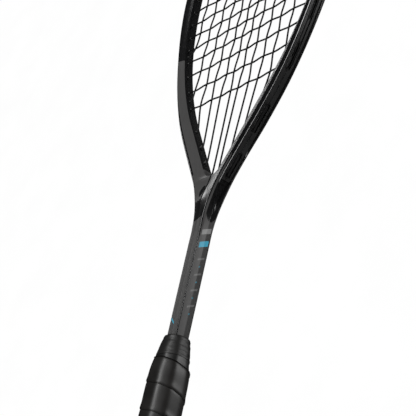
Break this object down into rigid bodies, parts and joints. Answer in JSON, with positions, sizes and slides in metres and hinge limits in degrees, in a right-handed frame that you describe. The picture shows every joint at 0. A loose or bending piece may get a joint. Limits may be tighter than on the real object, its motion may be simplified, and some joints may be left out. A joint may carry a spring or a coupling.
{
  "type": "squash racket",
  "caption": "Teardrop squash racket with a slim black carbon hoop, woven black strings, square shaft, black wrapped grip and rubber collar.",
  "frame": {"origin": "centre of the butt end's flat face, in the string plane", "axes": "+Y along the racket from the butt end to the tip, +Z normal to the string plane towards the front face, +X to the right seen from the front"},
  "size_m": [0.199, 0.685, 0.0334],
  "materials": {
    "lacquered_carbon": "satin charcoal and gloss black lacquer over carbon fibre",
    "black_nylon": "moulded satin nylon",
    "string_black": "coated multifilament string, slight sheen",
    "handle_foam": "moulded polyurethane foam",
    "cap_plastic": "moulded satin plastic",
    "staple_steel": "plain steel wire",
    "grip_wrap": "soft polyurethane wrap, satin",
    "finishing_tape": "vinyl tape",
    "collar_rubber": "stretched rubber, wrinkled, satin"
  },
  "bodies": {
    "root": {"carbon_frame": "lacquered_carbon", "bumper_guard": "black_nylon", "grommet_strip_left": "black_nylon", "grommet_strip_right": "black_nylon", "main_string": "string_black", "cross_string": "string_black", "foam_handle": "handle_foam", "butt_cap": "cap_plastic", "butt_cap_staples": "staple_steel", "grip_tape": "grip_wrap", "finishing_tape": "finishing_tape", "rubber_collar": "collar_rubber"}
  },
  "joints": []
}
